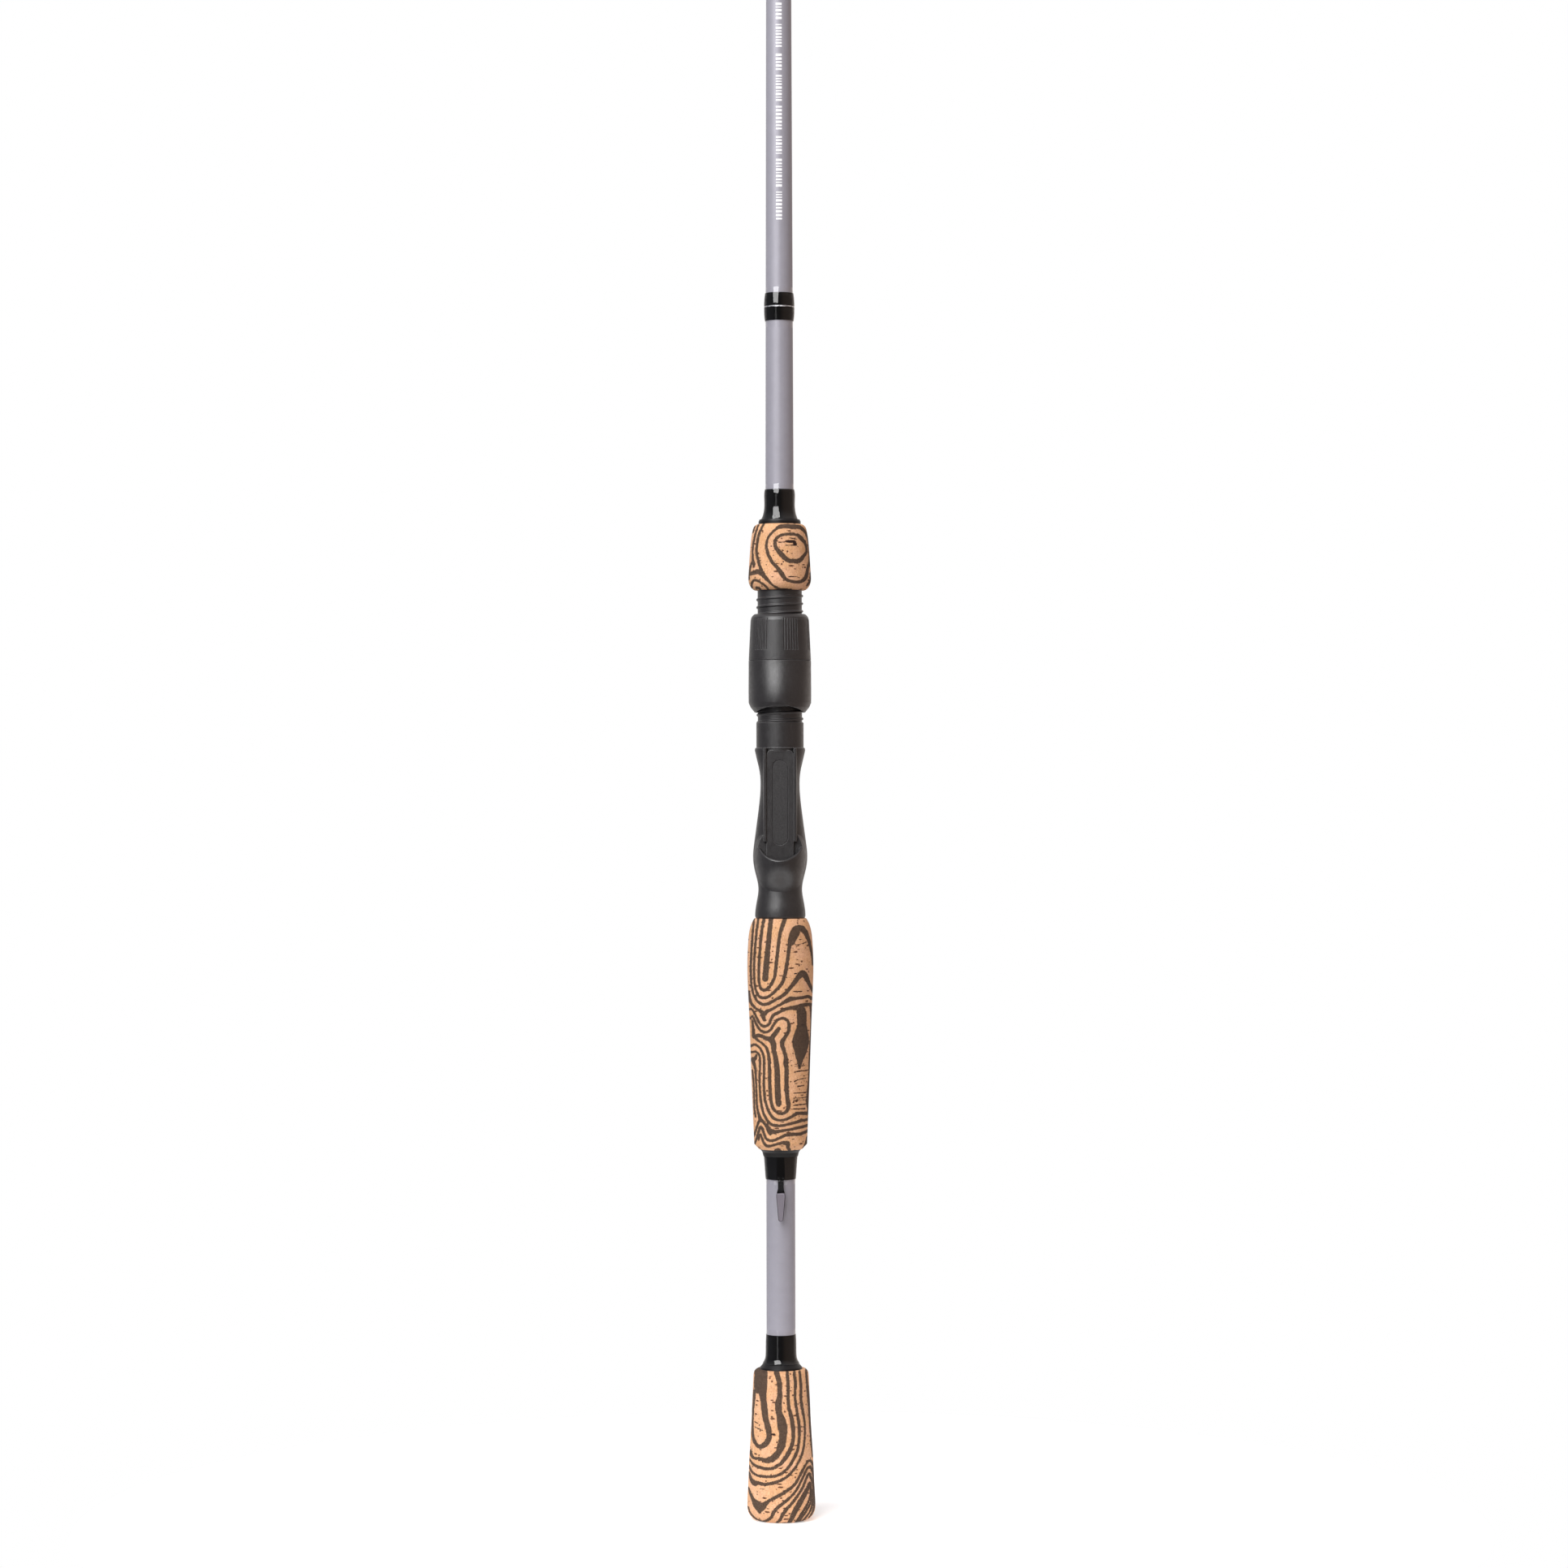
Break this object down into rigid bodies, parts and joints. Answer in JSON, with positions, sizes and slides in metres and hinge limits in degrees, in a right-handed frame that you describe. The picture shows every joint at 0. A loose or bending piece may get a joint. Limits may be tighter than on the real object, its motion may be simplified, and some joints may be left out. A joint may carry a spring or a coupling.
{
  "type": "spinning rod",
  "caption": "Two-grip spinning rod: tapered grey blank, patterned cork grips, contoured reel seat with sliding hood and locking nut, hook keeper, ringed line guides and tip-top.",
  "frame": {"origin": "on the rod's axis at the flat end of the butt grip", "axes": "+Z along the rod towards the tip, -Y the side of the reel, the guides and the hook keeper, +X to the right seen from that side"},
  "size_m": [0.0312, 0.0589, 2.1336],
  "materials": {
    "carbon_blank": "satin lavender-grey lacquer over carbon tube",
    "cork": "sanded tan cork with dark burl layers",
    "check_plastic": "satin black",
    "epoxy": "clear gloss rod finish",
    "metallic_thread": "silver metallic thread",
    "keeper_steel": "dark polished steel",
    "seat_nylon": "fine grained charcoal",
    "pad_rubber": "matte charcoal",
    "arbor_foam": "machined foam",
    "guide_steel": "black plated steel",
    "ring_ceramic": "polished dark ceramic",
    "black_thread": "nylon thread under gloss epoxy"
  },
  "bodies": {
    "root": {"blank": "carbon_blank", "butt_grip": "cork", "butt_winding_check": "check_plastic", "butt_wrap": "black_thread", "butt_wrap_finish": "epoxy", "fore_grip": "cork", "fore_winding_check": "check_plastic", "fore_wrap": "black_thread", "fore_wrap_finish": "epoxy", "guide_1_frame": "guide_steel", "guide_1_ring": "ring_ceramic", "guide_1_wrap": "black_thread", "guide_2_frame": "guide_steel", "guide_2_ring": "ring_ceramic", "guide_2_wrap": "black_thread", "guide_3_frame": "guide_steel", "guide_3_ring": "ring_ceramic", "guide_3_wrap": "black_thread", "guide_4_frame": "guide_steel", "guide_4_ring": "ring_ceramic", "guide_4_wrap": "black_thread", "guide_5_frame": "guide_steel", "guide_5_ring": "ring_ceramic", "guide_5_wrap": "black_thread", "guide_6_frame": "guide_steel", "guide_6_ring": "ring_ceramic", "guide_6_wrap": "black_thread", "guide_7_frame": "guide_steel", "guide_7_ring": "ring_ceramic", "guide_7_wrap": "black_thread", "hook_keeper": "keeper_steel", "keeper_wrap": "black_thread", "keeper_wrap_finish": "epoxy", "rear_grip": "cork", "rear_winding_check": "check_plastic", "reel_seat_body": "seat_nylon", "seat_arbor_lower": "arbor_foam", "seat_arbor_middle": "arbor_foam", "seat_arbor_upper": "arbor_foam", "seat_foot_pad": "pad_rubber", "tip_top_frame": "guide_steel", "tip_top_ring": "ring_ceramic", "tip_wrap": "black_thread", "trim_inlay": "metallic_thread", "trim_wrap_finish": "epoxy", "trim_wrap_lower": "black_thread", "trim_wrap_upper": "black_thread"},
    "hood": {"sliding_hood": "seat_nylon"},
    "nut": {"locking_nut": "seat_nylon"}
  },
  "joints": [
    {"name": "hood_slide", "type": "slide", "parent": "root", "child": "hood", "axis": [0, 0, 1], "range_m": [-0.0153, 0.0105]},
    {"name": "nut_spin", "type": "hinge", "parent": "hood", "child": "nut", "pos_m": [0, 0, 0.4], "axis": [0, 0, 1], "range_deg": [-1575, 1081]}
  ],
  "couplings": [
    {"joint": "nut_spin", "follows": "hood_slide", "rad_per_m": 1795.2}
  ]
}
